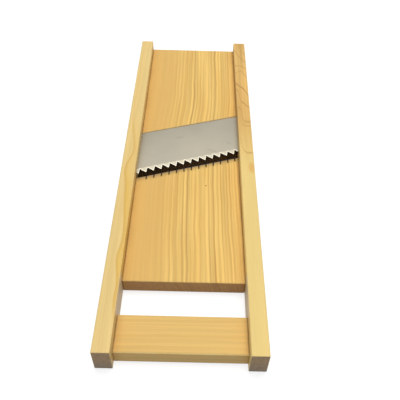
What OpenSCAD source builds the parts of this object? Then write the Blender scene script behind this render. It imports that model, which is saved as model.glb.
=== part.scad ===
// Wooden slicing board for vegetables: two rails carry two bed boards, a
// crossbar and a skewed, saw-toothed blade over a throat.
// Millimetres, +Z up. X runs across the board and Y along it, with the
// crossbar end at -Y. The origin is the middle of the flat underside.

/* [Rails] */
// Length of each rail
rail_len = 330; // [300:1:380]
// Width of each rail across the board
rail_w = 10.8; // [9:0.1:16]
// Height of each rail
rail_h = 19.7; // [17:0.1:26]
// Radius of the eased edges along each rail
rail_ease = 0.8; // [0.3:0.1:1.5]
// Radius of the eased edges at each rail's ends
rail_end_ease = 0.5; // [0.2:0.1:1.2]

/* [Bed boards] */
// Clear width between the two rails
bed_w = 79.4; // [65:0.2:95]
// Thickness of the beds and the crossbar
board_t = 11.5; // [9:0.1:13]
// Length of the lower bed on the centre line
lower_len = 106.5; // [90:0.5:115]
// Distance from the rails' far ends to the upper bed
far_setback = 1; // [0:0.5:8]
// Radius of the eased edges at each bed's outer end
bed_end_ease = 0.9; // [0.3:0.1:1.5]
// Radius of the eased edges of each bed along the rails
bed_side_ease = 0.4; // [0.2:0.1:0.8]
// Gap left between a board's edge and the rail it meets
joint_fit = 0.05; // [0.02:0.01:0.1]

/* [Crossbar and window] */
// Width of the crossbar along the board
crossbar_w = 25; // [20:0.5:32]
// Distance from the rails' near ends to the crossbar
crossbar_setback = 4.4; // [1:0.2:10]
// Radius of the crossbar's eased long edges
crossbar_ease = 1.2; // [0.4:0.1:2]
// Length of the open window between the crossbar and the lower bed
window_len = 24; // [16:0.5:34]

/* [Throat] */
// Skew of the throat and of the blade's back, in degrees
mouth_skew = 18; // [12:0.1:22]
// Gap from the lower bed's lip to the tooth tips on the centre line
mouth_gap = 4; // [1.5:0.1:5]
// How far the lower bed's lip is undercut at the underside
throat_undercut = 5; // [2:0.5:8]
// How far the upper bed's throat face slopes back at the underside
throat_rake = 2.2; // [0:0.1:5]
// Width of the small bevel along the lower bed's lip
lip_ease = 0.9; // [0.4:0.1:1.5]
// Length of the nick cut into the lip in front of each tooth
nick_len = 4.4; // [2:0.1:5]
// Width of each nick
nick_w = 1.1; // [0.6:0.1:1.6]
// Depth of each nick at the lip
nick_depth = 1.1; // [0.6:0.1:1.6]
// Sideways distance from a tooth tip to its nick
nick_shift = 0.6; // [-1:0.1:2]

/* [Blade] */
// Width of the blade from tooth tips to back on the centre line
blade_w = 45.4; // [38:0.2:54]
// Thickness of the blade
blade_t = 1; // [0.7:0.05:1.4]
// Length of each blade end inside its rail
blade_tongue = 4; // [2:0.2:6]
// Height of the tooth tips above the beds
tip_lift = 0.8; // [0.4:0.1:1.5]
// Depth of the blade's back below the upper bed's surface
back_sink = 0.3; // [0.1:0.1:0.6]
// Gap between the blade's back and the wall of its recess
back_gap = 0.7; // [0.2:0.1:1]
// Width of the small bevel along the top of the recess wall
recess_ease = 0.5; // [0.2:0.1:1]
// Angle between the tooth line and the blade's back, in degrees
tooth_splay = 0.5; // [0:0.1:2]
// Distance from one tooth tip to the next
tooth_pitch = 6; // [4.5:0.1:8]
// Depth of the teeth
tooth_depth = 4.2; // [2.5:0.1:5]
// Run of a tooth's steep flank along the tooth line
tooth_lean = 2.1; // [0:0.1:3]
// Sideways place of the tooth nearest the middle
tooth_phase = 1.8; // [-3:0.1:3]
// Width of the ground bevel behind the tooth tips
bevel_w = 4.7; // [3:0.1:8]
// Thickness left at the tooth tips
edge_t = 0.3; // [0.2:0.05:0.5]
// Distance from the tooth roots to the upper bed's throat face
seat_back = 1.3; // [0.5:0.1:3]
// Clearance above and below the blade in each rail's kerf
kerf_fit = 0.1; // [0.05:0.01:0.2]
// How far each kerf runs past the blade's front and back
kerf_over = 1.6; // [1:0.1:2.5]
// Clearance at the bottom of each kerf
kerf_floor = 0.3; // [0.1:0.1:0.8]

/* [Nails] */
// Diameter of a nail's shank
nail_d = 1.7; // [1.2:0.1:2.2]
// Diameter of a nail's head
nail_head_d = 3.4; // [2.6:0.1:4.5]
// Thickness of a nail's head
nail_head_t = 0.9; // [0.5:0.1:1.2]
// Length of a nail over its head
nail_len = 30; // [22:1:38]
// Length of a nail's point
nail_point = 3; // [2:0.5:5]
// Depth of each head below the rail's outer face
nail_sink = 0.2; // [0:0.1:0.5]
// Radial clearance between a nail and its hole
nail_fit = 0.02; // [0.01:0.01:0.05]
// Distance from the upper bed's far end to its first nail
upper_nail_inset = 20; // [12:1:30]
// Distance between the upper bed's nails
upper_nail_step = 52; // [40:1:55]
// Distance from the lower bed's near end to its first nail
lower_nail_inset = 15; // [10:1:25]
// Distance between the lower bed's nails
lower_nail_step = 60; // [40:1:62]
// Distance between the crossbar's nails
crossbar_nail_step = 13; // [8:1:16]

/* [Hidden] */
$fn = 48;

// Cutters reach this far, past every part of the board
reach = 2 * (rail_len + bed_w);
// Cutters start this far outside the face they open
over = 1;

near_y = -rail_len / 2;
far_y = rail_len / 2;
crossbar_y = near_y + crossbar_setback;
lower_y = crossbar_y + crossbar_w + window_len;
lip_y = lower_y + lower_len;
tip_y = lip_y + mouth_gap;
upper_end_y = far_y - far_setback;
rail_x = bed_w / 2 + rail_w / 2;
rail_face_x = bed_w / 2 + rail_w;
kerf_x = bed_w / 2 + blade_tongue + kerf_floor;

// The blade slopes from its lifted teeth down to its sunk back
blade_tilt = asin((tip_lift + back_sink) / blade_w);
bevel_angle = atan((blade_t - edge_t) / bevel_w);
tooth_skew = mouth_skew + tooth_splay;
teeth_each_way = ceil(bed_w / tooth_pitch);
tip_step_x = tooth_pitch * cos(tooth_skew);

nail_z = board_t / 2;
upper_nail_ys = [for (i = [0:2]) upper_end_y - upper_nail_inset - i * upper_nail_step];
lower_nail_ys = [for (i = [0:1]) lower_y + lower_nail_inset + i * lower_nail_step];
crossbar_nail_ys = [for (s = [-1, 1]) crossbar_y + crossbar_w / 2 + s * crossbar_nail_step / 2];

rail_color = [0.92, 0.78, 0.48];
bed_color = [0.89, 0.71, 0.41];
steel_color = [0.74, 0.71, 0.64];
nail_color = [0.62, 0.60, 0.56];

// A flat rectangle about the origin with round corners
module rounded_rect(w, h, r) {
    square([w - 2 * r, h], center = true);
    square([w, h - 2 * r], center = true);
    for (x = [-1, 1], y = [-1, 1]) {
        translate([x * (w / 2 - r), y * (h / 2 - r)]) circle(r);
    }
}

// Stands a profile drawn in Y and Z upright and runs it across the board
module across(w) {
    rotate([90, 0, 90]) linear_extrude(w, center = true) children();
}

// Stands a profile drawn in X and Z upright and runs it along the board
module along(len) {
    rotate([90, 0, 0]) linear_extrude(len, center = true) children();
}

// A straight bar on the origin's plane, with every edge eased
module eased_bar(w, len, h, side_ease, end_ease) {
    intersection() {
        translate([0, 0, h / 2]) along(len) rounded_rect(w, h, side_ease);
        translate([0, 0, h / 2]) across(w) rounded_rect(len, h, end_ease);
        linear_extrude(h) rounded_rect(w, len, end_ease);
    }
}

// The sloping plane of the blade's top face, from the middle of the tooth line
module in_blade_frame() {
    translate([0, tip_y, board_t + tip_lift])
        rotate([0, 0, mouth_skew])
            rotate([-blade_tilt, 0, 0]) children();
}

// The blade's shape in its own plane: teeth at the front, straight back
module blade_outline() {
    first_x = -teeth_each_way * tooth_pitch + tooth_phase;
    last_x = teeth_each_way * tooth_pitch + tooth_phase;
    teeth = [for (i = [-teeth_each_way:teeth_each_way])
        each [[i * tooth_pitch + tooth_phase, 0],
              [i * tooth_pitch + tooth_phase + tooth_lean, tooth_depth]]];
    back = [[last_x + tooth_lean, blade_w + bed_w], [first_x, blade_w + bed_w]];
    intersection() {
        rotate(tooth_splay) polygon(concat(teeth, back));
        translate([-reach, -reach]) square([2 * reach, reach + blade_w]);
    }
}

// The space that the blade fills in the rails, with its clearances
module kerf() {
    intersection() {
        in_blade_frame()
            translate([-reach, -kerf_over, -blade_t - kerf_fit])
                cube([2 * reach, blade_w + 2 * kerf_over, blade_t + 2 * kerf_fit]);
        translate([-kerf_x, -reach, 0]) cube([2 * kerf_x, 2 * reach, rail_h]);
    }
}

// The recess in the upper bed that the blade lies in, its wall bevelled at the top
module blade_recess() {
    wall_y = blade_w + back_gap;
    in_blade_frame()
        across(2 * reach)
            polygon([[-reach, -blade_t], [wall_y, -blade_t],
                [wall_y, back_sink - recess_ease], [wall_y + reach, back_sink - recess_ease + reach],
                [-reach, reach]]);
}

// Everything on the throat side of the lower bed's undercut face
module lower_throat() {
    slope = throat_undercut / (board_t - lip_ease);
    translate([0, lip_y, 0]) rotate([0, 0, mouth_skew])
        across(2 * reach)
            polygon([[reach, -over], [reach, board_t + over],
                [-lip_ease, board_t + over], [-lip_ease, board_t],
                [0, board_t - lip_ease], [-throat_undercut - slope * over, -over]]);
}

// Everything on the throat side of the upper bed's sloping face
module upper_throat() {
    face_y = tooth_depth + seat_back;
    slope = throat_rake / board_t;
    translate([0, tip_y, 0]) rotate([0, 0, tooth_skew])
        across(2 * reach)
            polygon([[-reach, -over], [face_y + throat_rake + slope * over, -over],
                [face_y - slope * over, board_t + over], [-reach, board_t + over]]);
}

// One V-shaped nick that deepens towards the lip
module nick() {
    fall = atan(nick_depth / nick_len);
    translate([0, -nick_len, 0]) rotate([-fall, 0, 0])
        translate([0, nick_len, 0])
            along(2 * nick_len)
                polygon([[-nick_w / 2, 0], [-nick_w / 2, nick_depth],
                    [nick_w / 2, nick_depth], [nick_w / 2, 0], [0, -nick_w]]);
}

// The row of nicks along the lip, one in front of each tooth that shows
module nicks() {
    margin = 2 * nick_w;
    for (i = [-teeth_each_way:teeth_each_way]) {
        x = (i * tooth_pitch + tooth_phase) * cos(tooth_skew) + nick_shift;
        if (abs(x) < bed_w / 2 - margin) {
            translate([x, lip_y + x * tan(mouth_skew), board_t]) nick();
        }
    }
}

// One nail along +Z from the top of its head, or its hole with a clearance
module nail(fit = 0) {
    r = nail_d / 2 + fit;
    head_r = nail_head_d / 2 + fit;
    mouth = fit > 0 ? nail_sink + over : 0;
    translate([0, 0, -mouth]) cylinder(r = head_r, h = nail_head_t + mouth);
    if (fit > 0) {
        cylinder(r = r, h = nail_len + fit);
    } else {
        cylinder(r = r, h = nail_len - nail_point);
        translate([0, 0, nail_len - nail_point])
            cylinder(r1 = r, r2 = r / 6, h = nail_point);
    }
}

// Nails through both rails at each of the given places along the board
module nail_pairs(ys, fit = 0) {
    for (side = [-1, 1], y = ys) {
        translate([side * (rail_face_x - nail_sink), y, nail_z])
            rotate([0, -side * 90, 0]) nail(fit);
    }
}

module nail_holes() {
    nail_pairs(concat(upper_nail_ys, lower_nail_ys, crossbar_nail_ys), nail_fit);
}

module rail(side) {
    color(rail_color) difference() {
        translate([side * rail_x, 0, 0])
            eased_bar(rail_w, rail_len, rail_h, rail_ease, rail_end_ease);
        kerf();
        nail_holes();
    }
}

module left_rail() {
    rail(-1);
}

module right_rail() {
    rail(1);
}

module upper_bed() {
    len = upper_end_y - lower_y;
    color(bed_color) difference() {
        translate([0, lower_y + len / 2, 0])
            eased_bar(bed_w - 2 * joint_fit, len, board_t, bed_side_ease, bed_end_ease);
        upper_throat();
        blade_recess();
        nail_holes();
    }
}

module lower_bed() {
    len = upper_end_y - lower_y;
    color(bed_color) difference() {
        translate([0, lower_y + len / 2, 0])
            eased_bar(bed_w - 2 * joint_fit, len, board_t, bed_side_ease, bed_end_ease);
        lower_throat();
        nicks();
        nail_holes();
    }
}

module crossbar() {
    color(bed_color) difference() {
        translate([0, crossbar_y + crossbar_w / 2, board_t / 2])
            across(bed_w - 2 * joint_fit) rounded_rect(crossbar_w, board_t, crossbar_ease);
        nail_holes();
    }
}

module blade() {
    half_w = bed_w / 2 + blade_tongue;
    color(steel_color) intersection() {
        in_blade_frame() difference() {
            translate([0, 0, -blade_t]) linear_extrude(blade_t) blade_outline();
            rotate([0, 0, tooth_splay]) translate([0, bevel_w, 0])
                rotate([bevel_angle, 0, 0]) translate([-reach, -reach, 0])
                    cube([2 * reach, reach, reach]);
        }
        translate([-half_w, -reach, 0]) cube([2 * half_w, 2 * reach, rail_h]);
    }
}

module upper_bed_nails() {
    color(nail_color) nail_pairs(upper_nail_ys);
}

module lower_bed_nails() {
    color(nail_color) nail_pairs(lower_nail_ys);
}

module crossbar_nails() {
    color(nail_color) nail_pairs(crossbar_nail_ys);
}

left_rail();
right_rail();
upper_bed();
lower_bed();
crossbar();
blade();
upper_bed_nails();
lower_bed_nails();
crossbar_nails();
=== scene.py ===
# Wooden board slicer: finishes, floor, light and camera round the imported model.
import math

import bpy
from mathutils import Matrix, Vector

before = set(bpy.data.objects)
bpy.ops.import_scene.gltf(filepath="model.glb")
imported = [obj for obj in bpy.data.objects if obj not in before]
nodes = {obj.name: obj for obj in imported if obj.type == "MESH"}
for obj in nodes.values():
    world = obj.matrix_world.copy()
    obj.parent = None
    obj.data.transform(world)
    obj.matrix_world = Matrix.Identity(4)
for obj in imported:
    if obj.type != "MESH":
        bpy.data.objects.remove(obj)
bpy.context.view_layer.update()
metre = 1000.0           # the finishes below are written in millimetres
print("frame loaded,", len(nodes), "nodes")


class Value:
    # One output of a node. Python's operators on it add Math nodes.
    def __init__(self, finish, socket):
        self.finish = finish
        self.socket = socket

    def maths(self, operation, *others):
        sockets = dict(enumerate((self,) + others))
        return self.finish.node("ShaderNodeMath", {"operation": operation}, sockets)

    def flipped(self, operation, other):
        return self.finish.node("ShaderNodeMath", {"operation": operation}, {0: other, 1: self})

    def __add__(self, other):
        return self.maths("ADD", other)

    def __radd__(self, other):
        return self.maths("ADD", other)

    def __sub__(self, other):
        return self.maths("SUBTRACT", other)

    def __rsub__(self, other):
        return self.flipped("SUBTRACT", other)

    def __mul__(self, other):
        return self.maths("MULTIPLY", other)

    def __rmul__(self, other):
        return self.maths("MULTIPLY", other)

    def __truediv__(self, other):
        return self.maths("DIVIDE", other)

    def __pow__(self, other):
        return self.maths("POWER", other)

    def size(self):
        return self.maths("ABSOLUTE")

    def rise(self, low, high):
        # 0 below low, 1 above high and a smooth step between them
        return self.remap(low, high, 0.0, 1.0, "SMOOTHSTEP")

    def remap(self, low, high, toLow, toHigh, curve="LINEAR"):
        settings = {"interpolation_type": curve, "clamp": True}
        return self.finish.node("ShaderNodeMapRange", settings, {0: self, 1: low, 2: high, 3: toLow, 4: toHigh})

    def bell(self, centre, width):
        # 1 at the centre, falling to 0 at width on either side
        return 1 - (self - centre).size().rise(0.0, width)


class Finish:
    # A node tree being written: a material's, or the world's.
    def __init__(self, tree):
        self.tree = tree
        tree.nodes.clear()

    def node(self, kind, settings=None, sockets=None, output=0):
        made = self.tree.nodes.new(kind)
        for name, setting in (settings or {}).items():
            if name == "stops":
                self.setStops(made.color_ramp, setting)
            elif name == "curve":
                made.color_ramp.interpolation = setting
            else:
                setattr(made, name, setting)
        for key, given in (sockets or {}).items():
            if isinstance(given, Value):
                self.tree.links.new(given.socket, made.inputs[key])
            else:
                socket = made.inputs[key]
                socket.default_value = given[:3] if socket.type == "VECTOR" else given
        return Value(self, made.outputs[output]) if len(made.outputs) else None

    def setStops(self, ramp, stops):
        while len(ramp.elements) < len(stops):
            ramp.elements.new(1.0)
        for element, (place, colour) in zip(ramp.elements, stops):
            element.position = place
            element.color = colour

    def mix(self, factor, first, second, blend="MIX"):
        settings = {"data_type": "RGBA", "blend_type": blend, "clamp_factor": True}
        return self.node("ShaderNodeMix", settings, {0: factor, 6: first, 7: second}, 2)

    def tint(self, colour, strength):
        # a colour made lighter or darker by a value
        return self.node("ShaderNodeVectorMath", {"operation": "SCALE"}, {0: colour, "Scale": strength})

    def join(self, x, y, z):
        return self.node("ShaderNodeCombineXYZ", None, {0: x, 1: y, 2: z})

    def split(self, vector):
        return [self.node("ShaderNodeSeparateXYZ", None, {0: vector}, axis) for axis in range(3)]

    def course(self, along, points, low, high):
        # a smooth line through a few points, each a place and the value there, between low and high
        first, last = points[0][0], points[-1][0]
        levels = [(value - low) / (high - low) for place, value in points]
        stops = [((point[0] - first) / (last - first), rgb(level, level, level)) for point, level in zip(points, levels)]
        ramp = self.node("ShaderNodeValToRGB", {"curve": "B_SPLINE", "stops": stops},
                         {0: along.remap(first, last, 0.0, 1.0)})
        return ramp * (high - low) + low

    def noise(self, place, detail=2.0, rough=0.5):
        return self.node("ShaderNodeTexNoise", None, {"Vector": place, "Scale": 1.0, "Detail": detail, "Roughness": rough})


def newMaterial(name):
    material = bpy.data.materials.new(name)
    material.use_nodes = True
    return material, Finish(material.node_tree)


def paint(material, *names):
    for name in names:
        node = nodes[name]
        node.data.materials.clear()
        node.data.materials.append(material)


def rgb(red, green, blue):
    return (red, green, blue, 1.0)


def closeWith(finish, surface):
    finish.node("ShaderNodeOutputMaterial", None, {"Surface": surface})


# Wood. Growth rings are cylinders round a pith line that runs along the board,
# so tops, edges and end grain all show the same rings.

def woodFinish(name, look):
    material, finish = newMaterial(name)
    place = finish.node("ShaderNodeTexCoord", None, None, 3)
    facing = finish.node("ShaderNodeTexCoord", None, None, 1)
    x, y, z = [axis * metre for axis in finish.split(place)]
    faceX, faceY, faceZ = [axis.size() for axis in finish.split(facing)]
    along, across = (x, y) if look["grainAcross"] else (y, x)

    # the pith wanders along the board, and dives where the board was cut across the trunk's sweep
    wander = finish.noise(finish.join(across * 0.012, along * look["wanderRate"], z * 0.03 + look["seed"]), 2.0)
    ripple = finish.noise(finish.join(across * 0.07, along * 0.035, look["seed"] + 9.0), 1.0)
    drift = (wander - 0.5) * look["wander"] + (ripple - 0.5) * look["ripple"]
    if look["course"]:
        drift = drift + finish.course(along, look["course"], -6.0, 6.0)
    lift = look["pithZ"] - (along - look["sweepFrom"]).maths("SMOOTH_MAX", 0.0, 20.0) * look["sweep"]
    radius = finish.node("ShaderNodeVectorMath", {"operation": "LENGTH"},
                         {0: finish.join(across - look["pithX"] + drift, z - lift, 0.0)}, 1)
    uneven = finish.noise(finish.join(radius * (0.35 / look["ringGap"]), look["seed"] * 3.1, 0.0), 1.0)
    phase = radius / look["ringGap"] + uneven * 2.2
    part = phase.maths("FRACT")
    luck = finish.node("ShaderNodeTexWhiteNoise", {"noise_dimensions": "1D"}, {"W": phase.maths("FLOOR")})
    late = part.rise(0.35, 0.88) * (1 - part.rise(0.9, 1.0)) * (luck * 0.7 + 0.3)
    shown = finish.noise(finish.join(across * 0.08, along * 0.007, look["seed"] + 4.0), 1.0).rise(0.25, 0.6)
    striped = look["striped"](across, along)
    late = late * (shown * 0.5 + 0.5) * striped

    # narrow streaks follow the rings, fine fibres follow the board
    streak = finish.noise(finish.join(radius * 0.62, along * 0.006, look["seed"] * 1.7), 2.0, 0.6).rise(0.3, 0.7)
    fibre = finish.noise(finish.join(across * 2.6, along * 0.05, z * 2.6), 4.0, 0.65)
    fleck = finish.noise(finish.join(across * 6.0, along * 0.35, z * 6.0), 2.0)
    zone = finish.noise(finish.join(across * 0.09, along * 0.011, z * 0.09 + look["seed"]), 2.0).rise(0.3, 0.7)
    colour = finish.mix(striped, look["plain"], finish.mix(zone, look["pale"], look["warm"]))
    colour = finish.mix(late * look["lateShare"], colour, look["late"])
    streaks = (streak - 0.5) * (striped * look["streaks"] + 0.03)
    colour = finish.tint(colour, 1.0 + streaks + (fibre - 0.5) * 0.2 + (fleck - 0.5) * 0.08)

    # end grain is dull, mottled and darker than the long faces
    ends = (faceX if look["grainAcross"] else faceY).rise(0.6, 0.95)
    pores = finish.noise(finish.join(x * 0.55, y * 0.55, z * 0.75 + look["seed"]), 3.0, 0.6).rise(0.3, 0.7)
    endColour = finish.mix(pores, look["end"], look["endDeep"])
    endColour = finish.mix(late * 0.5, endColour, look["late"])
    colour = finish.mix(ends * look["endShare"], colour, endColour)
    for mark in look["marks"]:
        colour = mark(finish, colour, x, y, z)

    # the planed edges are rubbed paler, and lightened further as a painted highlight
    wornAndHighlit = (1 - faceX.maths("MAXIMUM", faceY).maths("MAXIMUM", faceZ)).rise(0.06, 0.25)
    patchy = finish.noise(finish.join(x * 0.2, y * 0.2, z * 0.2), 2.0).rise(0.3, 0.6)
    colour = finish.mix(wornAndHighlit * (patchy * 0.5 + 0.3) * look["wornAndHighlitShare"], colour, look["wornAndHighlit"])

    height = fibre * 0.5 + late * 0.35 + fleck * 0.15
    bump = finish.node("ShaderNodeBump", None, {"Strength": 0.35, "Distance": 0.00025, "Height": height})
    surface = finish.node("ShaderNodeBsdfPrincipled", None, {
        "Base Color": colour, "Roughness": 0.52 + (fibre - 0.5) * 0.25 + late * 0.1,
        "Specular IOR Level": 0.35, "Normal": bump})
    closeWith(finish, surface)
    return material


def evenly(share):
    return lambda across, along: share


# Marks on the wood: each takes a colour and a place and gives the colour back changed.

throat = {"skew": 18.0, "lipY": -5.1, "lipShadeColour": rgb(0.10, 0.07, 0.05), "throatShadeColour": rgb(0.03, 0.016, 0.008)}


def pastLip(x, y):
    # how far a point lies past the lower bed's lip, along the board
    return y - x * math.tan(math.radians(throat["skew"])) - throat["lipY"]


def paintedLipShade(finish, colour, x, y, z):
    # painted shade: the wood just before the throat is greyed, darkest at the lip
    past = pastLip(x, y) + (finish.noise(finish.join(x * 0.35, y * 0.1, 0.0), 2.0) - 0.5) * 1.5
    near = past.rise(-7.5, 0.5) * (1 - past.rise(8.0, 12.0))
    return finish.mix(near ** 1.5 * 0.72, colour, throat["lipShadeColour"])


def paintedThroatShade(finish, colour, x, y, z):
    # painted shade: the wood inside the throat, under the blade, is darkened to near black
    past = pastLip(x, y)
    inside = past.rise(-1.0, 0.3) * (1 - past.rise(10.0, 14.0)) * (1 - z.rise(10.9, 11.45))
    return finish.mix(inside * 0.93, colour, throat["throatShadeColour"])


def paintedNickShade(finish, colour, x, y, z):
    # painted shade: the nicks are darkened brown inside
    past = pastLip(x, y)
    inside = past.rise(-5.0, -4.2) * (1 - past.rise(0.0, 1.0)) * (1 - z.rise(11.25, 11.46)) * z.rise(9.0, 10.0)
    return finish.mix(inside * 0.75, colour, rgb(0.17, 0.085, 0.02))


def resinSpeck(finish, colour, x, y, z):
    away = finish.node("ShaderNodeVectorMath", {"operation": "LENGTH"}, {0: finish.join(x - 13.7, y + 25.0, 0.0)}, 1)
    return finish.mix((1 - away.rise(0.3, 0.9)) * 0.8, colour, rgb(0.16, 0.07, 0.02))


def boardSideShadeAndJoint(finish, colour, x, y, z):
    # painted shade where a board meets the rails, stronger on the left, with some staining; a dark joint line runs
    # right at the rail
    patchy = finish.noise(finish.join(x * 0.1, y * 0.045, 3.0), 2.0).rise(0.3, 0.7)
    near = x.size().rise(33.5, 39.4) * (patchy * 0.6 + 0.4) * (0.62 - x * 0.004)
    colour = finish.mix(near * 0.7, colour, rgb(0.56, 0.31, 0.08))
    crack = x.size().rise(38.7, 39.4) * (patchy * 0.5 + 0.5)
    return finish.mix(crack * 0.75, colour, rgb(0.20, 0.10, 0.03))


def paintedRailFootShade(finish, colour, x, y, z):
    # painted shade on the rails, in the corner above the boards and the blade
    corner = (1 - x.size().rise(39.75, 40.3)) * (1 - z.rise(11.4, 14.0)) * z.rise(9.0, 11.0)
    return finish.mix(corner * 0.45, colour, rgb(0.34, 0.19, 0.06))


def paintedWindowWallLight(finish, colour, x, y, z):
    # the rails' walls in the window are painted paler, as painted light bounced up from the floor
    inside = (1 - x.size().rise(39.8, 40.3)) * y.rise(-140.0, -136.0) * (1 - y.rise(-112.0, -108.0))
    return finish.mix(inside * 0.6, colour, rgb(0.80, 0.66, 0.46))


def lowerShade(finish, colour, x, y, z):
    # the ends are greyer below and darker along the bottom
    atEnd = 1 - y.rise(-164.6, -163.6)
    colour = finish.mix(atEnd * (1 - z.rise(2.0, 15.0)) * 0.5, colour, rgb(0.27, 0.21, 0.15))
    return finish.mix(atEnd * (1 - z.rise(0.3, 2.0)) * 0.6, colour, rgb(0.13, 0.10, 0.06))


# the broad ring that shows on the left rail's top: place along the rail and across, in millimetres
wavyRing = [(-146.0, -40.6), (-132.0, -42.0), (-119.0, -41.0), (-108.0, -42.8), (-98.0, -44.2), (-89.0, -42.0),
            (-78.0, -41.4), (-62.0, -43.2), (-45.0, -44.7), (-31.0, -45.2), (-19.0, -48.2), (-9.0, -46.4),
            (0.0, -42.8), (12.0, -43.2), (25.0, -45.2), (38.0, -47.4), (60.0, -48.4)]


def wavyGold(finish, colour, x, y, z):
    # one ring runs in waves along the rail, golden on its inner side
    inward = x - finish.course(y, wavyRing, -52.0, -38.0) + (z - 19.7) * 0.3
    shown = y.rise(-150.0, -128.0) * (1 - y.rise(5.0, 55.0) * 0.75)
    gold = inward.rise(-0.6, 0.8) * (1 - inward.rise(2.0, 6.0) * 0.6) * (1 - y.rise(-40.0, 0.0) * 0.6)
    colour = finish.mix(gold * shown * 0.7, colour, rgb(0.80, 0.49, 0.08))
    line = (1 - inward.rise(0.0, 2.0)) * inward.rise(-0.9, 0.0)
    return finish.mix(line * shown * 0.55, colour, rgb(0.62, 0.36, 0.06))


# rings that come to the right rail's top in arcs, round a branch: place across the rail and along
branchArcs = [
    {"line": [(41.2, 22.0), (42.0, 11.0), (43.5, 6.5), (45.5, 3.6), (47.5, 2.6), (50.5, 3.8)], "wide": 2.6, "share": 0.5},
    {"line": [(44.0, 38.5), (45.0, 36.8), (47.0, 36.4), (50.5, 36.6)], "wide": 2.6, "share": 0.4},
    {"line": [(40.0, 62.0), (42.6, 60.0), (43.4, 54.0), (44.0, 46.0), (45.0, 41.0)], "wide": 4.0, "share": 0.4},
    {"line": [(39.8, 90.0), (41.5, 84.0), (42.5, 76.0), (43.4, 69.5), (45.0, 67.0), (47.0, 65.5), (50.5, 60.0)],
     "wide": 2.6, "share": 0.75},
    {"line": [(39.8, 98.0), (42.5, 93.0), (44.0, 90.5), (46.0, 88.5), (47.5, 86.0), (48.7, 82.5), (50.5, 76.0)],
     "wide": 3.4, "share": 0.8},
    {"line": [(41.0, 112.5), (43.0, 115.3), (44.5, 116.0), (46.5, 114.0), (50.5, 106.0)], "wide": 2.4, "share": 0.45},
    {"line": [(39.8, 125.5), (44.5, 125.0), (46.5, 123.4), (50.5, 120.0)], "wide": 2.4, "share": 0.5},
    {"line": [(39.8, 152.0), (42.3, 145.5), (44.0, 140.5), (46.0, 137.0), (50.5, 129.0)], "wide": 4.0, "share": 0.45},
    {"line": [(44.5, 160.0), (46.5, 151.0), (48.5, 146.5), (50.5, 141.0)], "wide": 3.0, "share": 0.4},
]


def branchFigure(finish, colour, x, y, z):
    stir = finish.noise(finish.join(x * 0.22, y * 0.07, z * 0.22), 2.0)
    cutY = y + (stir - 0.5) * 5.0 + (19.7 - z) * 0.9
    for arc in branchArcs:
        across = [point[0] for point in arc["line"]]
        past = cutY - finish.course(x, arc["line"], -10.0, 180.0)
        line = past.rise(-1.1, 0.0) * (1 - past.rise(0.2, arc["wide"]))
        shown = x.rise(across[0] - 1.0, across[0] + 0.3)
        colour = finish.mix(line * shown * arc["share"], colour, rgb(0.44, 0.22, 0.05))
    return colour


def orangePatch(finish, colour, x, y, z):
    # resin has coloured the grain beside the branch
    alongBy = ((y + 12.5) / 7.0) ** 2.0
    acrossBy = ((x - 48.0) / 2.6) ** 2.0
    patch = 1 - (alongBy + acrossBy).rise(0.0, 1.2)
    return finish.mix(patch * 0.6, colour, rgb(0.72, 0.36, 0.07))


bedWood = {
    "grainAcross": False, "seed": 2.0,
    "pithX": -95.0, "pithZ": -30.0, "sweepFrom": -170.0, "sweep": 0.012, "ringGap": 2.9,
    "wander": 4.0, "wanderRate": 0.004, "ripple": 1.6,
    "course": [(-112.0, 1.2), (-60.0, 2.4), (-5.0, 2.8), (42.0, 2.9), (55.0, 2.0), (70.0, 0.4), (90.0, -0.4), (165.0, -0.2)],
    "plain": rgb(0.75, 0.46, 0.125), "pale": rgb(0.88, 0.58, 0.165), "warm": rgb(0.82, 0.51, 0.13),
    "late": rgb(0.40, 0.20, 0.04), "lateShare": 0.62, "streaks": 0.22,
    "end": rgb(0.56, 0.29, 0.09), "endDeep": rgb(0.44, 0.22, 0.08), "endShare": 0.85,
    "wornAndHighlit": rgb(0.92, 0.66, 0.26), "wornAndHighlitShare": 0.9,
    "striped": lambda across, along: across.rise(-26.0, -2.0) * 0.9 + 0.08,
    "marks": [boardSideShadeAndJoint, paintedLipShade, paintedNickShade, resinSpeck, paintedThroatShade],
}
leftRailWood = {
    "grainAcross": False, "seed": 7.0,
    "pithX": -14.0, "pithZ": 4.0, "sweepFrom": -170.0, "sweep": 0.0, "ringGap": 4.4,
    "wander": 4.0, "wanderRate": 0.011, "ripple": 1.0, "course": [],
    "plain": rgb(0.82, 0.60, 0.235), "pale": rgb(0.84, 0.60, 0.22), "warm": rgb(0.80, 0.54, 0.19),
    "late": rgb(0.60, 0.34, 0.08), "lateShare": 0.5, "streaks": 0.25,
    "end": rgb(0.40, 0.25, 0.12), "endDeep": rgb(0.27, 0.15, 0.06), "endShare": 0.92,
    "wornAndHighlit": rgb(0.92, 0.70, 0.34), "wornAndHighlitShare": 0.8,
    "striped": evenly(0.3),
    "marks": [wavyGold, paintedRailFootShade, paintedWindowWallLight, lowerShade],
}
rightRailWood = {
    "grainAcross": False, "seed": 11.0,
    "pithX": 35.0, "pithZ": -12.0, "sweepFrom": -170.0, "sweep": 0.0, "ringGap": 5.0,
    "wander": 4.0, "wanderRate": 0.012, "ripple": 1.0, "course": [],
    "plain": rgb(0.86, 0.64, 0.225), "pale": rgb(0.77, 0.48, 0.14), "warm": rgb(0.73, 0.42, 0.11),
    "late": rgb(0.46, 0.24, 0.06), "lateShare": 0.45, "streaks": 0.3,
    "end": rgb(0.41, 0.26, 0.12), "endDeep": rgb(0.26, 0.14, 0.06), "endShare": 0.92,
    "wornAndHighlit": rgb(0.92, 0.70, 0.34), "wornAndHighlitShare": 0.8,
    "striped": lambda across, along: along.rise(-25.0, 60.0) * 0.92 + 0.06,
    "marks": [branchFigure, orangePatch, paintedRailFootShade, paintedWindowWallLight, lowerShade],
}
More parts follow.
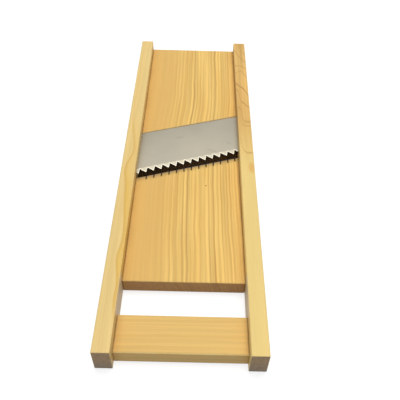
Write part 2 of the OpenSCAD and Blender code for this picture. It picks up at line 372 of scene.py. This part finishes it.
crossbarWood = {
    "grainAcross": True, "seed": 17.0,
    "pithX": -190.0, "pithZ": -30.0, "sweepFrom": -60.0, "sweep": 0.0, "ringGap": 4.0,
    "wander": 4.0, "wanderRate": 0.01, "ripple": 1.0, "course": [],
    "plain": rgb(0.78, 0.50, 0.15), "pale": rgb(0.80, 0.52, 0.15), "warm": rgb(0.76, 0.47, 0.13),
    "late": rgb(0.56, 0.32, 0.07), "lateShare": 0.5, "streaks": 0.25,
    "end": rgb(0.50, 0.30, 0.14), "endDeep": rgb(0.40, 0.23, 0.10), "endShare": 0.8,
    "wornAndHighlit": rgb(0.90, 0.72, 0.32), "wornAndHighlitShare": 1.0,
    "striped": evenly(0.3),
    "marks": [boardSideShadeAndJoint],
}

paint(woodFinish("bedWood", bedWood), "upper_bed", "lower_bed")
paint(woodFinish("leftRailWood", leftRailWood), "left_rail")
paint(woodFinish("rightRailWood", rightRailWood), "right_rail")
paint(woodFinish("crossbarWood", crossbarWood), "crossbar")
print("wood finished")


# Steel. The blade is satin ground, with faint lines along its length, a painted reflection that lightens it towards
# the teeth, and filed teeth with a painted highlight along each flank.

bladeSteel = {"colour": rgb(0.36, 0.335, 0.275), "rough": 0.42}
nailSteel = {"colour": rgb(0.40, 0.38, 0.35), "rough": 0.5}
teeth = {"tipY": -1.1, "skew": 18.5, "pitch": 6.0, "phase": 1.8, "lean": 2.1, "depth": 4.2, "bevel": 4.7}
scratches = [(18.3, 14.2, -22.0, 5.0), (32.3, 23.9, -35.0, 3.0), (-8.0, 30.0, 12.0, 4.0)]     # x, y, turn, reach


def turned(x, y, middleX, middleY, degrees):
    # x and y in a frame with its middle at the given point, turned by the given angle
    cosine, sine = math.cos(math.radians(degrees)), math.sin(math.radians(degrees))
    offX, offY = x - middleX, y - middleY
    return offX * cosine + offY * sine, offY * cosine - offX * sine


def bladeMarks(finish, colour, x, y):
    side, back = turned(x, y, 0.0, teeth["tipY"], teeth["skew"])
    # painted reflection: the blade lightens towards the teeth and darkens towards its back
    colour = finish.tint(colour, back.remap(0.0, 46.0, 1.1, 0.9))
    colour = finish.tint(colour, 1 - (1 - back.rise(teeth["bevel"] - 0.2, teeth["bevel"] + 0.2)) * 0.22)
    # the teeth were filed one by one, which left a bright line along each flank, brightened further as a painted
    # highlight
    turn = ((side - teeth["phase"]) / teeth["pitch"]).maths("FRACT")
    lean = teeth["lean"] / teeth["pitch"]
    outline = (turn / lean).maths("MINIMUM", (1 - turn) / (1 - lean)) * teeth["depth"]
    filedAndHighlit = 1 - (back - outline).rise(0.2, 1.3)
    colour = finish.mix(filedAndHighlit * 0.75, colour, rgb(0.60, 0.58, 0.52))
    for middleX, middleY, degrees, reach in scratches:
        lengthwise, aside = turned(x, y, middleX, middleY, degrees)
        worn = (1 - lengthwise.size().rise(reach * 0.5, reach)) * (1 - aside.size().rise(0.2, 0.8))
        colour = finish.tint(colour, 1 - worn * 0.16)
    return colour


def steelFinish(name, look, marks=None):
    material, finish = newMaterial(name)
    place = finish.node("ShaderNodeTexCoord", None, None, 3)
    x, y, z = [axis * metre for axis in finish.split(place)]
    cloud = finish.noise(finish.join(x * 0.05, y * 0.05, z * 0.05), 3.0)
    lines = finish.noise(finish.join(x * 0.4, y * 6.0, z), 3.0, 0.7)
    colour = finish.tint(look["colour"], 0.94 + cloud * 0.08 + lines * 0.06)
    if marks:
        colour = marks(finish, colour, x, y)
    bump = finish.node("ShaderNodeBump", None, {"Strength": 0.15, "Distance": 0.00005, "Height": lines})
    surface = finish.node("ShaderNodeBsdfPrincipled", None, {
        "Base Color": colour, "Metallic": 1.0, "Roughness": look["rough"] + (cloud - 0.5) * 0.15, "Normal": bump})
    closeWith(finish, surface)
    return material


paint(steelFinish("bladeSteel", bladeSteel, bladeMarks), "blade")
paint(steelFinish("nailSteel", nailSteel), "upper_bed_nails", "lower_bed_nails", "crossbar_nails")
print("steel finished")


# Floor, world and lamp.

studio = {
    "floorColour": rgb(0.40, 0.40, 0.40), "floorGlow": 0.74, "floorDrop": 0.0003, "floorSize": 8.0,
    "fill": rgb(0.42, 0.45, 0.53),
    "keyFrom": (0.08, 0.22, 1.0), "keySpread": 35.0, "keyPower": 1.8, "keyColour": (1.0, 0.95, 0.82),
}


def lookingRays(finish):
    # 1 for the rays that look at the background, straight, in a reflection or through glass
    rays = [finish.node("ShaderNodeLightPath", None, None, name) for name in
            ("Is Camera Ray", "Is Glossy Ray", "Is Transmission Ray")]
    return rays[0].maths("MAXIMUM", rays[1]).maths("MAXIMUM", rays[2])


def makeFloor(look):
    half = look["floorSize"] / 2
    mesh = bpy.data.meshes.new("floor")
    drop = -look["floorDrop"]
    mesh.from_pydata([(-half, -half, drop), (half, -half, drop), (half, half, drop), (-half, half, drop)],
                     [], [(0, 1, 2, 3)])
    floor = bpy.data.objects.new("floor", mesh)
    bpy.context.scene.collection.objects.link(floor)
    material, finish = newMaterial("floorPaper")
    diffuse = finish.node("ShaderNodeBsdfDiffuse", None, {"Color": look["floorColour"]})
    x, y, z = [axis * metre for axis in finish.split(finish.node("ShaderNodeTexCoord", None, None, 3))]
    # no glow under the boards, where the slot shows the floor
    under = (1 - x.size().rise(44.0, 50.0)) * (y.rise(-112.0, -104.0) * (1 - y.rise(150.0, 163.0)))
    strength = lookingRays(finish) * (1 - under) * look["floorGlow"]
    glow = finish.node("ShaderNodeEmission", None, {"Strength": strength})
    closeWith(finish, finish.node("ShaderNodeAddShader", None, {0: diffuse, 1: glow}))
    mesh.materials.append(material)


def makeWorld(look):
    world = bpy.data.worlds.new("studio")
    world.use_nodes = True
    bpy.context.scene.world = world
    finish = Finish(world.node_tree)
    colour = finish.mix(lookingRays(finish), look["fill"], rgb(1.0, 1.0, 1.0))
    air = finish.node("ShaderNodeBackground", None, {"Color": colour, "Strength": 1.0})
    finish.node("ShaderNodeOutputWorld", None, {"Surface": air})


def makeKey(look):
    lamp = bpy.data.lights.new("key", "SUN")
    lamp.angle = math.radians(look["keySpread"])
    lamp.energy = look["keyPower"]
    lamp.color = look["keyColour"]
    key = bpy.data.objects.new("key", lamp)
    key.rotation_euler = Vector(look["keyFrom"]).to_track_quat("Z", "Y").to_euler()
    bpy.context.scene.collection.objects.link(key)


makeFloor(studio)
makeWorld(studio)
makeKey(studio)
print("floor, world and lamp made")


# Camera, at the photograph's place in the part's frame.

view = {
    "place": (0.006732, -0.296455, 0.289867), "lens": 46.446,
    "turn": 0.602, "down": 47.319, "roll": 1.834,        # degrees
}


def makeCamera(look):
    data = bpy.data.cameras.new("camera")
    data.lens = look["lens"]
    camera = bpy.data.objects.new("camera", data)
    aim = (Matrix.Rotation(math.radians(-look["turn"]), 4, "Z")
           @ Matrix.Rotation(math.radians(90 - look["down"]), 4, "X")
           @ Matrix.Rotation(math.radians(look["roll"]), 4, "Z"))
    camera.matrix_world = Matrix.Translation(look["place"]) @ aim
    bpy.context.scene.collection.objects.link(camera)
    bpy.context.scene.camera = camera


makeCamera(view)
bpy.context.scene.view_settings.view_transform = "Standard"
print("camera made")
